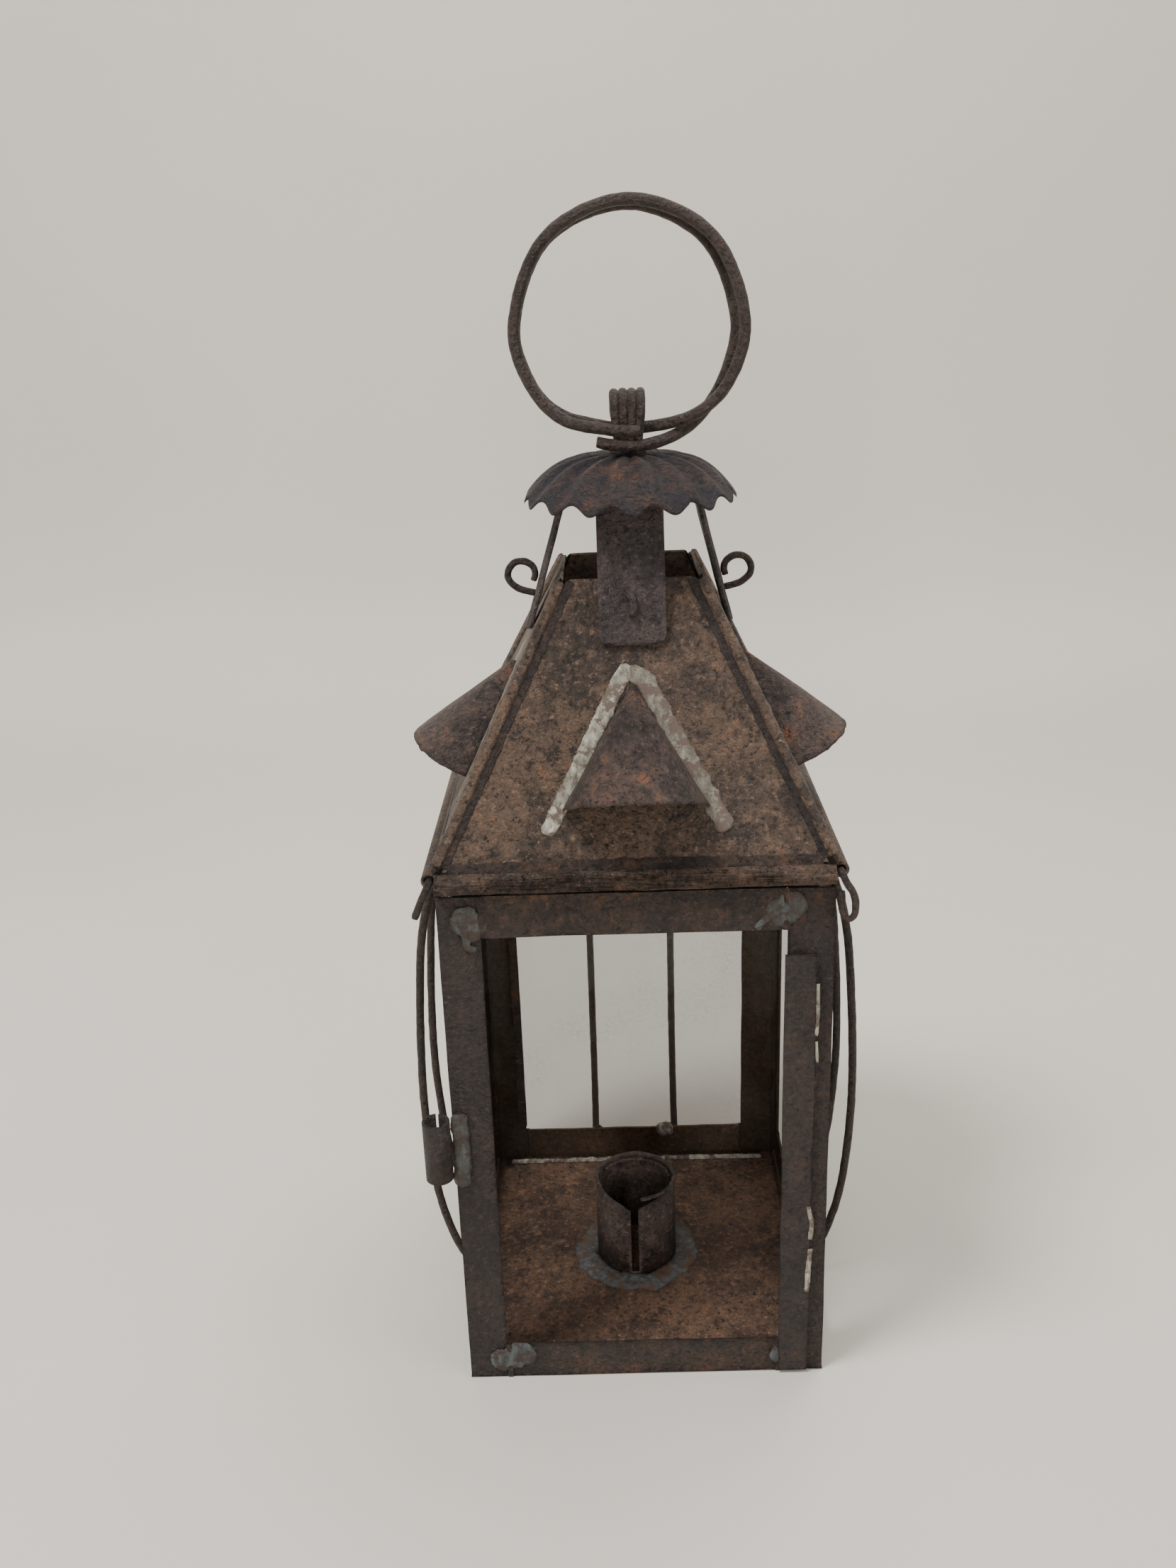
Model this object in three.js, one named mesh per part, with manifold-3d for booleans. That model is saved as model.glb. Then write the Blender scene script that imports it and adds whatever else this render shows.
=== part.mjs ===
// Moroccan candle lantern of thin sheet iron, rusted all over.
// A square body of four angle posts with glass on three sides and an open front, a steep roof that
// hinges on a rod along its left eave, four half-cone vent hoods, a fluted cap on four straps and a
// carrying ring of doubled wire held in an eye on top.
// Millimetres, +Z up, the open front faces -Y, the origin is the middle of the base.
import * as THREE from 'three';
import { mergeVertices } from 'three/addons/utils/BufferGeometryUtils.js';
import Module from 'manifold-3d';

const SHEET = 1.0;            // sheet iron thickness
const GAP = 0.3;              // clearance between neighbouring pieces

// body
const BODY_X = 54;            // half width, to the outside of the posts
const BODY_Y = 57;            // half depth
const BODY_TOP = 162.6;
const POST_FLANGE = { front_left: 12.0, front_right: 13.2, back_right: 14.0, back_left: 12.7 };
const NARROW_FLANGE = 6.5;    // the back right post is narrower along the right side
const BOTTOM_RAIL = 12.5;     // height of the bottom rails
const TOP_RAIL_LOW = 150.1;   // lower edge of the top rails
const GLASS = 1.8;
const GLASS_TOP = 160;
const GUARD_SPREAD = 15;      // guard wires stand this far either side of the middle
const GUARD_RADIUS = 1.35;
const GUARD_BOW = [           // distance out from the body face, height
  [1.7, 3.0], [1.7, 8.0], [6.0, 15.5], [11.2, 34], [13.3, 53], [14.1, 72],
  [12.9, 105], [9.9, 134], [4.6, 151], [1.7, 157.5], [1.7, 161.3],
];

// candle cup
const CUP_X = -1.2;
const CUP_RADIUS = 13.4;
const CUP_TOP = 31;
const COLLAR_RADIUS = 17.8;

// roof
const EAVE_X = 55.4;          // axes of the side beads, where the rods run
const EAVE_Y = 57;            // axes of the front and back beads
const EAVE_Z = 166;
const BEAD_RADIUS = 3.0;      // front and back beads
const TUBE_RADIUS = 2.3;      // side beads, hollow
const TUBE_BORE = 1.5;
const ROD_RADIUS = 1.1;
const ROOF_TOP = 239.6;
const CROWN_HALF = 19.05;     // half size of the square opening at the roof top
const LEAN = 1.6;             // the roof top sits this far to the right
const RIB_RADIUS = 1.6;
const HOOD_RADIUS = 19.2;
const HOOD_FOOT = 19.5;       // hood mouth, measured up the slope from the eave
const HOOD_LENGTH = 32;

// cap, straps and ring
const CAP_X = 2.2;
const CAP_RADIUS = 29.5;
const CAP_TOP = 271.4;
const CAP_DROP = 11.0;        // from the crown of the cap down to its rim
const CAP_ROUND = 3.4;        // flat on top and steep at the rim
const FLUTES = 16;
const STRAP_WIDTH = 18.3;
const STRAP_FOOT = 222.6;     // height of the strap foot on the roof slope
const STRAP_TOP = 264.2;
const STRAP_TOP_HALF = 17.4;
const EYE_WIRE = 1.3;
const EYE_X = 2.0;
const EYE_TOP = 287.4;
const EYE_FOOT = 271.9;
const EYE_HALF = 3.4;
const RING_X = 3.0;
const RING_Z = 305.1;
const RING_WIRE = 1.7;

const wasm = await Module();
wasm.setup();

const lantern = new THREE.Group();
lantern.name = 'moroccan_metal_lantern';

function iron(color, roughness = 0.85, metalness = 0.5) {
  return new THREE.MeshStandardMaterial({ color, roughness, metalness });
}

function add(name, geometry, material) {
  const mesh = new THREE.Mesh(geometry, material);
  mesh.name = name;
  lantern.add(mesh);
}

function block(x0, x1, y0, y1, z0, z1) {
  const geometry = new THREE.BoxGeometry(x1 - x0, y1 - y0, z1 - z0);
  return geometry.translate((x0 + x1) / 2, (y0 + y1) / 2, (z0 + z1) / 2);
}

function toManifold(geometry) {
  const bare = geometry.clone();
  bare.deleteAttribute('normal');
  bare.deleteAttribute('uv');
  const welded = mergeVertices(bare, 1e-5);
  const vertProperties = new Float32Array(welded.attributes.position.array);
  const triVerts = new Uint32Array(welded.index.array);
  return new wasm.Manifold(new wasm.Mesh({ numProp: 3, vertProperties, triVerts }));
}

function toGeometry(solid) {
  const mesh = solid.getMesh();
  const geometry = new THREE.BufferGeometry();
  geometry.setAttribute('position', new THREE.BufferAttribute(mesh.vertProperties, 3));
  geometry.setIndex(new THREE.BufferAttribute(mesh.triVerts, 1));
  geometry.computeVertexNormals();
  return geometry;
}

function cut(body, tool) {
  return toGeometry(toManifold(body).subtract(toManifold(tool)));
}

function keep(body, tool) {
  return toGeometry(toManifold(body).intersect(toManifold(tool)));
}

// A ring of revolution about +Z from [radius, height] points; the profile is closed here.
function turned(profile, segments, closed = true) {
  const points = profile.map(([r, z]) => new THREE.Vector2(r, z));
  if (closed) points.push(points[0].clone());
  return new THREE.LatheGeometry(points, segments).rotateX(Math.PI / 2);
}

function disc(radius, sides) {
  const points = [];
  for (let i = 0; i < sides; i += 1) {
    const angle = (i / sides) * 2 * Math.PI;
    points.push(new THREE.Vector2(radius * Math.cos(angle), radius * Math.sin(angle)));
  }
  return new THREE.Shape(points);
}

// Round wire through a list of THREE.Vector3 points.
function wire(points, radius, steps, sides = 8) {
  const extrudePath = new THREE.CatmullRomCurve3(points, false, 'centripetal');
  return new THREE.ExtrudeGeometry(disc(radius, sides), { steps, extrudePath, bevelEnabled: false });
}

// A flat sheet cut to a shape in the (u, v) plane of a frame, its thickness centred on that plane.
function sheet(shape, frame, thickness = SHEET) {
  const geometry = new THREE.ExtrudeGeometry(shape, { depth: thickness, bevelEnabled: false });
  return geometry.translate(0, 0, -thickness / 2).applyMatrix4(frame);
}

function polygon(points) {
  return new THREE.Shape(points.map(([u, v]) => new THREE.Vector2(u, v)));
}

function frameAt(origin, u, v) {
  const w = new THREE.Vector3().crossVectors(u, v);
  return new THREE.Matrix4().makeBasis(u, v, w).setPosition(origin);
}

// Roof sides run counter-clockwise from the front; each frame has u along the eave, v up the slope
// and w outward, with its origin in the middle of the eave.
const SIDES = ['front', 'right', 'back', 'left'];
const EAVE_CORNERS = [[-1, -1], [1, -1], [1, 1], [-1, 1]].map(
  ([x, y]) => new THREE.Vector3(x * EAVE_X, y * EAVE_Y, EAVE_Z),
);
const CROWN_CORNERS = [[-1, -1], [1, -1], [1, 1], [-1, 1]].map(
  ([x, y]) => new THREE.Vector3(LEAN + x * CROWN_HALF, y * CROWN_HALF, ROOF_TOP),
);

function roofSide(k) {
  const a = EAVE_CORNERS[k];
  const b = EAVE_CORNERS[(k + 1) % 4];
  const c = CROWN_CORNERS[(k + 1) % 4];
  const d = CROWN_CORNERS[k];
  const origin = a.clone().add(b).multiplyScalar(0.5);
  const u = b.clone().sub(a).normalize();
  const up = c.clone().add(d).multiplyScalar(0.5).sub(origin);
  const drift = up.dot(u);
  const v = up.clone().addScaledVector(u, -drift).normalize();
  const frame = frameAt(origin, u, v);
  return { frame, u, drift, length: up.dot(v), half: a.distanceTo(b) / 2, steep: v.z };
}

function outward(k) {
  return [new THREE.Vector3(0, -1, 0), new THREE.Vector3(1, 0, 0),
    new THREE.Vector3(0, 1, 0), new THREE.Vector3(-1, 0, 0)][k];
}

function postGeometry(x, y, flange, second) {
  const shape = polygon([
    [0, 0], [flange, 0], [flange, SHEET], [SHEET, SHEET], [SHEET, second], [0, second],
  ]);
  const geometry = new THREE.ExtrudeGeometry(shape, { depth: BODY_TOP, bevelEnabled: false });
  const quarter = { '-1,-1': 0, '1,-1': 1, '1,1': 2, '-1,1': 3 }[`${x},${y}`];
  return geometry.rotateZ((quarter * Math.PI) / 2).translate(x * BODY_X, y * BODY_Y, 0);
}

function addPosts() {
  const corners = { front_left: [-1, -1], front_right: [1, -1], back_right: [1, 1], back_left: [-1, 1] };
  for (const [name, [x, y]] of Object.entries(corners)) {
    const second = name === 'back_right' ? NARROW_FLANGE : POST_FLANGE[name];
    add(`post_${name}`, postGeometry(x, y, POST_FLANGE[name], second), iron(0x4a3330));
  }
}

function addRails(kind, low, high) {
  const fl = POST_FLANGE;
  const inX = BODY_X - GAP;
  const inY = BODY_Y - GAP;
  add(`${kind}_rail_front`, block(-inX + fl.front_left, inX - fl.front_right,
    -BODY_Y, -BODY_Y + SHEET, low, high), iron(0x553a30));
  add(`${kind}_rail_back`, block(-inX + fl.back_left, inX - fl.back_right,
    BODY_Y - SHEET, BODY_Y, low, high), iron(0x553a30));
  add(`${kind}_rail_left`, block(-BODY_X, -BODY_X + SHEET,
    -inY + fl.front_left, inY - fl.back_left, low, high), iron(0x513830));
  add(`${kind}_rail_right`, block(BODY_X - SHEET, BODY_X,
    -inY + fl.front_right, inY - NARROW_FLANGE, low, high), iron(0x513830));
}

function addFloor() {
  const x = BODY_X - SHEET - GAP;
  const y = BODY_Y - SHEET - GAP;
  add('floor_plate', block(-x, x, -y, y, 0, SHEET), iron(0x70492c));
}

function addGlass() {
  const foot = SHEET + GAP;
  const x = BODY_X - SHEET - GAP;
  const y = BODY_Y - SHEET - GAP;
  const pane = new THREE.MeshStandardMaterial({ color: 0xb9bdb8, roughness: 0.15, metalness: 0 });
  const sideEnd = y - GLASS - GAP;
  add('glass_left', block(-x, -x + GLASS, -y + 1, sideEnd, foot, GLASS_TOP), pane.clone());
  add('glass_right', block(x - GLASS, x, -y + 1, sideEnd, foot, GLASS_TOP), pane.clone());
  add('glass_back', block(-x + 0.6, x - 0.6, y - GLASS, y, foot, GLASS_TOP), pane.clone());
  const front = y - GLASS - GAP - SHEET;
  add('glass_strip', block(-43.9, -41.0, front, front + SHEET, 16.5, 149), iron(0x5a4338));
}

// What is left of the missing door: a lapped strip on the right post and a keeper tube on the left.
function addDoorRemains() {
  const face = -BODY_Y - GAP;
  add('door_lap_strip', block(40.3, 48.9, face - 0.9, face, 1.0, 143), iron(0x4d3832));
  add('latch_lap', block(-54.0, -49.5, face - 0.8, face, 70.5, 95), iron(0x6f716c, 0.6));
  const tube = turned([[3.0, 73.6], [4.0, 73.6], [4.0, 92.6], [3.0, 92.6]], 28);
  tube.translate(-58.5, -BODY_Y, 0);
  const seam = block(-58.9, -58.1, -BODY_Y + 1, -BODY_Y + 6, 70, 96);
  add('latch_tube', cut(tube, seam), iron(0x5b4540));
}

function addGuardWires() {
  const places = { left: [-1, 0], right: [1, 0], back: [0, 1] };
  for (const [side, [x, y]] of Object.entries(places)) {
    for (const [end, along] of [['a', -GUARD_SPREAD], ['b', GUARD_SPREAD]]) {
      const points = GUARD_BOW.map(([out, z]) => new THREE.Vector3(
        x * (BODY_X + out) + Math.abs(y) * along,
        y * (BODY_Y + out) + Math.abs(x) * along,
        z,
      ));
      add(`guard_wire_${side}_${end}`, wire(points, GUARD_RADIUS, 28), iron(0x4a3632));
    }
  }
}

function addCandleCup() {
  const low = SHEET + GAP;
  const inner = CUP_RADIUS - SHEET;
  const cup = turned([[inner, low], [CUP_RADIUS, low], [CUP_RADIUS, CUP_TOP], [inner, CUP_TOP]], 48);
  cup.translate(CUP_X, 0, 0);
  const notch = new THREE.ExtrudeGeometry(
    polygon([
      [-0.7, 2.2], [-0.7, 26.8], [2.5, 28.4], [8, 29.9], [13.5, 32],
      [-15, 32], [-10, 29.5], [-6.2, 28.2], [-3.2, 26.2], [-3.2, 2.2],
    ]),
    { depth: 20, bevelEnabled: false },
  );
  notch.rotateX(Math.PI / 2);
  add('candle_cup', cut(cup, notch), iron(0x5d4a40));
  const bore = CUP_RADIUS + GAP;
  const collar = turned([[bore, low], [COLLAR_RADIUS, low], [COLLAR_RADIUS - 0.8, low + 0.9], [bore, low + 1.3]], 40);
  add('cup_collar', collar.translate(CUP_X, 0, 0), iron(0x6b5a4c));
}

// The hinge rod lies in the left bead: bent out as a stub in front, turned down the post behind.
function addHingeRod() {
  const x = -EAVE_X;
  const back = BODY_Y - 0.6;
  const points = [
    [x - 4.2, -BODY_Y - 0.1, 156.6], [x - 2.6, -BODY_Y - 0.1, 160.6], [x - 0.7, -BODY_Y, 164.8],
    [x, -BODY_Y + 1.2, EAVE_Z], [x, -BODY_Y + 4, EAVE_Z], [x, 0, EAVE_Z], [x, back - 4, EAVE_Z],
    [x, back - 1.6, EAVE_Z - 0.2], [x, back - 0.2, EAVE_Z - 1.8], [x, back, EAVE_Z - 4], [x, back, 150],
  ].map((p) => new THREE.Vector3(...p));
  add('hinge_rod', wire(points, ROD_RADIUS, 56), iron(0x5a4540));
}

// The catch rod lies in the right bead and ends in a closed loop that hangs in front of the post.
function addCatchRod() {
  const x = EAVE_X;
  const y = -BODY_Y - 1.7;
  const points = [
    [x, BODY_Y - 1.6, EAVE_Z], [x, 0, EAVE_Z], [x, -BODY_Y + 2, EAVE_Z], [x + 0.1, y + 0.9, EAVE_Z - 0.2],
    [x + 0.6, y, EAVE_Z - 1.6], [x + 2.6, y, 161.5], [x + 3.4, y, 157.6], [x + 2.9, y, 154.2],
    [x + 1.3, y, 153.4], [x + 0.1, y, 155.2], [x - 0.4, y, 158.6], [x - 0.5, y, 162.0],
  ].map((p) => new THREE.Vector3(...p));
  add('catch_rod', wire(points, 1.05, 72), iron(0x5a4540));
}

function addRoofPanel(k) {
  const side = roofSide(k);
  const foot = (k % 2 === 0 ? BEAD_RADIUS : TUBE_RADIUS) + GAP + 0.2;
  const inset = RIB_RADIUS + GAP + 0.1;
  const rise = side.length;
  const leftRun = side.drift - CROWN_HALF + side.half;
  const rightRun = side.half - side.drift - CROWN_HALF;
  const left = (v) => -side.half + (leftRun * v) / rise + inset * Math.hypot(1, leftRun / rise);
  const right = (v) => side.half - (rightRun * v) / rise - inset * Math.hypot(1, rightRun / rise);
  const shape = polygon([[left(foot), foot], [right(foot), foot], [right(rise), rise], [left(rise), rise]]);
  const half = HOOD_RADIUS - 3.5;
  const low = HOOD_FOOT + 4;
  const high = HOOD_FOOT + HOOD_LENGTH * 0.8;
  const centre = side.drift * 0.6;
  shape.holes.push(new THREE.Path([
    new THREE.Vector2(centre - half, low), new THREE.Vector2(centre - 1.5, high),
    new THREE.Vector2(centre + 1.5, high), new THREE.Vector2(centre + half, low),
  ]));
  add(`roof_panel_${SIDES[k]}`, sheet(shape, side.frame), iron(0x4a3531));
}

function addHood(k) {
  const side = roofSide(k);
  const tip = 1.6;
  const lift = SHEET / 2 + GAP;
  const cone = turned([
    [HOOD_RADIUS - SHEET, 0], [HOOD_RADIUS, 0], [tip, HOOD_LENGTH], [tip - SHEET, HOOD_LENGTH],
  ], 40);
  cone.rotateX(-Math.PI / 2);
  const front = block(-30, 30, -5, 50, 0, 30);
  const hood = keep(cone, front).translate(side.drift * 0.6, HOOD_FOOT, lift);
  add(`hood_${SIDES[k]}`, hood.applyMatrix4(side.frame), iron(0x51392f));
}

function addHipRib(k) {
  const along = CROWN_CORNERS[k].clone().sub(EAVE_CORNERS[k]);
  const length = along.length();
  const direction = along.normalize();
  const points = [5.6, length / 2, length - 0.6].map(
    (s) => EAVE_CORNERS[k].clone().addScaledVector(direction, s),
  );
  const names = ['front_left', 'front_right', 'back_right', 'back_left'];
  add(`hip_rib_${names[k]}`, wire(points, RIB_RADIUS, 8, 12), iron(0x503a34));
}

function addEaveBeads() {
  const reachX = EAVE_X - 1.6;
  const reachY = EAVE_Y - BEAD_RADIUS - GAP;
  for (const [name, y] of [['front', -EAVE_Y], ['back', EAVE_Y]]) {
    const bead = new THREE.CylinderGeometry(BEAD_RADIUS, BEAD_RADIUS, 2 * reachX, 20);
    add(`eave_bead_${name}`, bead.rotateZ(Math.PI / 2).translate(0, y, EAVE_Z + 0.2), iron(0x553d34));
  }
  for (const [name, x] of [['left', -EAVE_X], ['right', EAVE_X]]) {
    const tube = turned([
      [TUBE_BORE, -reachY], [TUBE_RADIUS, -reachY], [TUBE_RADIUS, reachY], [TUBE_BORE, reachY],
    ], 24);
    add(`eave_bead_${name}`, tube.rotateX(Math.PI / 2).translate(x, 0, EAVE_Z), iron(0x553d34));
  }
}

// The frame of strap k: u across, v up its length, w outward, origin at its foot on the roof slope.
function strapFrame(k) {
  const side = roofSide(k);
  const v = (STRAP_FOOT - EAVE_Z) / side.steep;
  const foot = new THREE.Vector3(side.drift, v, SHEET + 0.5).applyMatrix4(side.frame);
  const head = outward(k).multiplyScalar(STRAP_TOP_HALF).add(new THREE.Vector3(CAP_X, 0, STRAP_TOP));
  const rise = head.sub(foot);
  rise.addScaledVector(side.u, -rise.dot(side.u));
  return { frame: frameAt(foot, side.u, rise.clone().normalize()), length: rise.length() };
}

function addStrap(k) {
  const { frame, length } = strapFrame(k);
  const half = STRAP_WIDTH / 2;
  const shape = polygon([
    [-half, length], [-half, 4], [-half + 1, 1.6], [-half + 3.4, 0.2], [half - 3.4, 0.2],
    [half - 1, 1.6], [half, 4], [half, length],
  ]);
  add(`cap_strap_${SIDES[k]}`, sheet(shape, frame), iron(0x4d3a38));
}

function addStrapWires() {
  const start = SHEET / 2 + 0.35;
  const loop = [[start, 9.1], [3.6, 9.0], [6.2, 9.2], [9.2, 10.9], [9.9, 13.4], [8.8, 16.0],
    [6.1, 17.1], [3.3, 16.2], [2.2, 14.2], [2.3, 12.4]];
  const stub = [[start, 12.2], [2.0, 12.5], [2.9, 11.2], [2.8, 8.8], [2.3, 6.6]];
  for (const k of [0, 1, 2, 3]) {
    const path = k === 0 ? stub : loop;
    const points = path.map(([w, v]) => new THREE.Vector3(0, v, w).applyMatrix4(strapFrame(k).frame));
    const name = k === 0 ? 'strap_wire_stub' : `strap_loop_${SIDES[k]}`;
    add(name, wire(points, 1.07, k === 0 ? 10 : 32), iron(0x59463f));
  }
}

function addCap() {
  const rings = 9;
  const height = (r) => CAP_TOP - CAP_DROP * (r / CAP_RADIUS) ** CAP_ROUND;
  const radii = Array.from({ length: rings }, (_, i) => (CAP_RADIUS * i) / (rings - 1));
  const outer = radii.map((r) => [r, height(r)]).reverse();
  const inner = radii.map((r) => [r, height(r) - SHEET]);
  const geometry = turned([...inner, ...outer], FLUTES * 5, false);
  const position = geometry.attributes.position;
  for (let i = 0; i < position.count; i += 1) {
    const x = position.getX(i);
    const y = position.getY(i);
    const reach = Math.hypot(x, y) / CAP_RADIUS;
    const wave = Math.cos(FLUTES * Math.atan2(y, x));
    const scallop = 1 + 0.03 * wave * reach ** 3;
    position.setXYZ(i, x * scallop, y * scallop, position.getZ(i) - 0.9 * wave * reach ** 2);
  }
  add('cap', geometry.translate(CAP_X, 0, 0), iron(0x57423f));
}

// Four strands side by side, each an upside-down U over the ring wire.
function addRingEye() {
  const centreZ = EYE_TOP - EYE_HALF;
  let bundle = null;
  for (let i = 0; i < 4; i += 1) {
    const head = EYE_X + (i - 1.5) * 2.48;
    const foot = EYE_X + (i - 1.5) * 1.7;
    const arch = [0, 1, 2, 3, 4].map((j) => {
      const angle = (j / 4) * Math.PI;
      return [head, -EYE_HALF * Math.cos(angle), centreZ + EYE_HALF * Math.sin(angle)];
    });
    const path = [[foot, -EYE_HALF, EYE_FOOT], ...arch, [foot, EYE_HALF, EYE_FOOT]];
    const points = path.map((p) => new THREE.Vector3(...p));
    const strand = toManifold(wire(points, EYE_WIRE, 22));
    bundle = bundle ? bundle.add(strand) : strand;
  }
  add('ring_eye', toGeometry(bundle), iron(0x5a4743));
}

// Two turns of one wire: end A lies in front of the eye, the wire goes round, passes through the
// eye, goes round again behind and ends below A. Angle is degrees from the bottom, left first.
const RING_TURNS = [
  [-5, 27.6, -7.2], [8, 27.7, -7.2], [18, 28.0, -6.7], [26, 29.0, -5.4], [36, 30.6, -3.6], [50, 31.25, -2.1],
  [70, 31.25, -1.9], [90, 31.25, -1.9], [135, 31.25, -1.9], [180, 31.25, -1.9], [225, 31.25, -1.9],
  [270, 31.25, -1.9], [295, 31.2, -1.9], [310, 30.9, -1.9], [325, 29.8, -1.6], [338, 28.4, -0.7],
  [350, 27.6, 0], [360, 27.5, 0], [372, 27.7, 0], [386, 28.5, 0.4], [398, 30.2, 1.2], [412, 31.2, 1.9],
  [430, 31.25, 1.9], [450, 31.25, 1.9], [495, 31, 1.9], [540, 30.25, 1.9], [585, 29.6, 1.9], [630, 29.25, 1.9],
  [650, 29.4, 2.0], [665, 30.2, 2.3], [680, 31.3, 2.4], [692, 32.0, 1.2], [704, 31.8, -3.2],
  [718, 31.6, -7.2], [730, 31.5, -7.7], [738, 31.6, -7.8],
];

function addRing() {
  const points = RING_TURNS.map(([degrees, radius, y]) => {
    const angle = (degrees * Math.PI) / 180;
    return new THREE.Vector3(RING_X - radius * Math.sin(angle), y, RING_Z - radius * Math.cos(angle));
  });
  add('carrying_ring', wire(points, RING_WIRE, 130, 10), iron(0x5f504c, 0.7));
}

addFloor();
addPosts();
addRails('bottom', 0, BOTTOM_RAIL);
addRails('top', TOP_RAIL_LOW, BODY_TOP);
addGlass();
addDoorRemains();
addGuardWires();
addCandleCup();
addHingeRod();
addCatchRod();
addEaveBeads();
for (const k of [0, 1, 2, 3]) {
  addRoofPanel(k);
  addHood(k);
  addHipRib(k);
  addStrap(k);
}
addStrapWires();
addCap();
addRingEye();
addRing();

export default lantern;
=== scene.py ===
"""A rusty sheet-iron candle lantern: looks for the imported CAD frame, in metres."""
import math

import bmesh
import bpy
from mathutils import Matrix, Vector, noise


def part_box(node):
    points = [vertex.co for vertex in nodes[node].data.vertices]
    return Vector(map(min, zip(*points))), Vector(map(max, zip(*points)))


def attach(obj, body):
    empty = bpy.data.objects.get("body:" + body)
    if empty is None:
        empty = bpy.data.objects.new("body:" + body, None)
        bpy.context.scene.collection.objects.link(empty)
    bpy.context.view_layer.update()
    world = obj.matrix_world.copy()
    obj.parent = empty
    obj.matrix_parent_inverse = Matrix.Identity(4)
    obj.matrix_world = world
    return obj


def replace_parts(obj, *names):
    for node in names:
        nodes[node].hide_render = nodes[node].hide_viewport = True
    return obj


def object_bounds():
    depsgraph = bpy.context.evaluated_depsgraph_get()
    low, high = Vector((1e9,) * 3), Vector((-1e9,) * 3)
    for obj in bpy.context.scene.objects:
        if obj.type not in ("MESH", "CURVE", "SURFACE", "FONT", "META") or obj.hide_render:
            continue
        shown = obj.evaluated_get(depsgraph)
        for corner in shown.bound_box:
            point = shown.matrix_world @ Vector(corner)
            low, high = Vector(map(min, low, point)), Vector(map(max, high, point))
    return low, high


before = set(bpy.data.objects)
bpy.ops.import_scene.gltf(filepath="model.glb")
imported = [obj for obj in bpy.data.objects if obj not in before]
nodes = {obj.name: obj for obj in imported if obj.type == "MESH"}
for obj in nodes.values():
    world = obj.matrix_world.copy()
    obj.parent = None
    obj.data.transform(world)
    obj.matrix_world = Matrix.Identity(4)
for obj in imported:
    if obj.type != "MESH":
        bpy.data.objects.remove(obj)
CAD_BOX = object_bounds()

MM = 0.001
CAMERA_AT = (-0.00621, -0.39461, 0.31762)
CAMERA_LENS = 31.78            # millimetres, on a 36 mm long side
CAMERA_YAW = -0.0159           # radians, away from +Y
CAMERA_PITCH = 0.3515          # radians, downwards
CAMERA_ROLL = -0.0354
SIDES = ("front", "right", "back", "left")
OUTWARD = {"front": Vector((0, -1, 0)), "right": Vector((1, 0, 0)),
           "back": Vector((0, 1, 0)), "left": Vector((-1, 0, 0))}

UNDER_SOLDER = (0.045, 0.029, 0.023)     # the rust that shows where grey solder has worn through

RUN_STEP = 0.6 * MM            # between the cross-sections of a run of solder
RUN_POINTS = 9                 # across a run
WIRE_SWELL = 0.12 * MM         # given back to a wire that smoothing has thinned
WIRE_LUMPS = 0.3 * MM
BEAD_LUMPS = 1.1 * MM
SHEET_WAVES = 0.6 * MM
JOIN_WITHIN = 0.01 * MM

HOOD_RADIUS = 18.5 * MM
HOOD_SPREAD = 1.07             # a little wider than it is high
HOOD_FOOT = 19.5 * MM          # up the slope from the eave
HOOD_LENGTH = 32 * MM
HOOD_SHEET = 0.75 * MM
HOOD_SHIFT = {"front": 0.96 * MM, "right": 0.0, "back": -0.96 * MM, "left": 0.0}
# The two solder bands of a hood, in millimetres across and up the roof side: finish, path, width.
HOOD_BANDS = (("pale", [(-24.3, 13), (-12.6, 36), (-3.4, 54.5), (-0.4, 58.5)], 4.4),
              ("dull", [(-1.6, 57.4), (3.2, 55), (12.6, 36), (24.3, 13)], 5.2))

STRAP_HALF = 9.15 * MM
STRAP_CORNER = 3.0 * MM        # how much narrower its foot is on each side, over the rise below
STRAP_CORNER_RISE = 3.2 * MM
STRAP_RIB_AT = 6.7 * MM        # from the middle of the strap
STRAP_SHEET = 1.0 * MM
STRAP_NUB = ((-1.6, 15.0), (0.2, 12.4), (0.7, 9.8), (-0.4, 7.8))    # across and up the front strap
FLUTES = 16
FLUTE_DEPTH = 1.35 * MM
CAP_DROP = 11.0 * MM           # from the crown of the cap down to its rim
CAP_LOWERED = 0.5 * MM         # below the CAD cap, clear of the swinging ring
CAP_SHEET = 0.8 * MM
CAP_CHIPS = ((-55, 0.9), (-12, 1.2), (188, 1.0), (75, 0.8))    # degrees round the rim, size

# Solder on the front face: name, path across and up in millimetres, width, height, finish, seed.
FRONT_SOLDER = (
    ("top_left", [(-46.5, 159.5), (-45.4, 154), (-41.5, 151.2)], 8.4, 0.2, "solder", 1),
    ("top_left_drip", [(-46.5, 153.5), (-46.0, 147.5), (-43.5, 146.2)], 2.2, 0.4, "solder", 2),
    ("top_right", [(36.0, 153.5), (40.0, 156.0), (45.0, 160.0)], 8.6, 0.2, "solder", 3),
    ("top_right_streak", [(32.4, 150.8), (36.0, 154.4), (41.5, 157.0)], 2.2, 0.4, "blue", 6),
    ("foot_left", [(-47.5, 6.6), (-41.0, 7.2), (-34.0, 9.9)], 8.6, 0.4, "blue", 4),
    ("foot_right", [(38.0, 7.0), (43.0, 5.6), (49.0, 5.4)], 7.6, 0.4, "blue", 5),
)
# Pale streaks down the edge of the front face: path and width.
LAP_SOLDER = (
    ([(49.4, 134), (49.6, 125), (49.3, 118)], 1.1), ([(49.4, 116), (49.7, 109.5)], 0.9),
    ([(48.2, 61), (49.4, 55), (49.0, 49.5)], 1.5), ([(49.2, 46), (48.6, 38), (48.4, 30.5)], 1.7),
)
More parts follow.
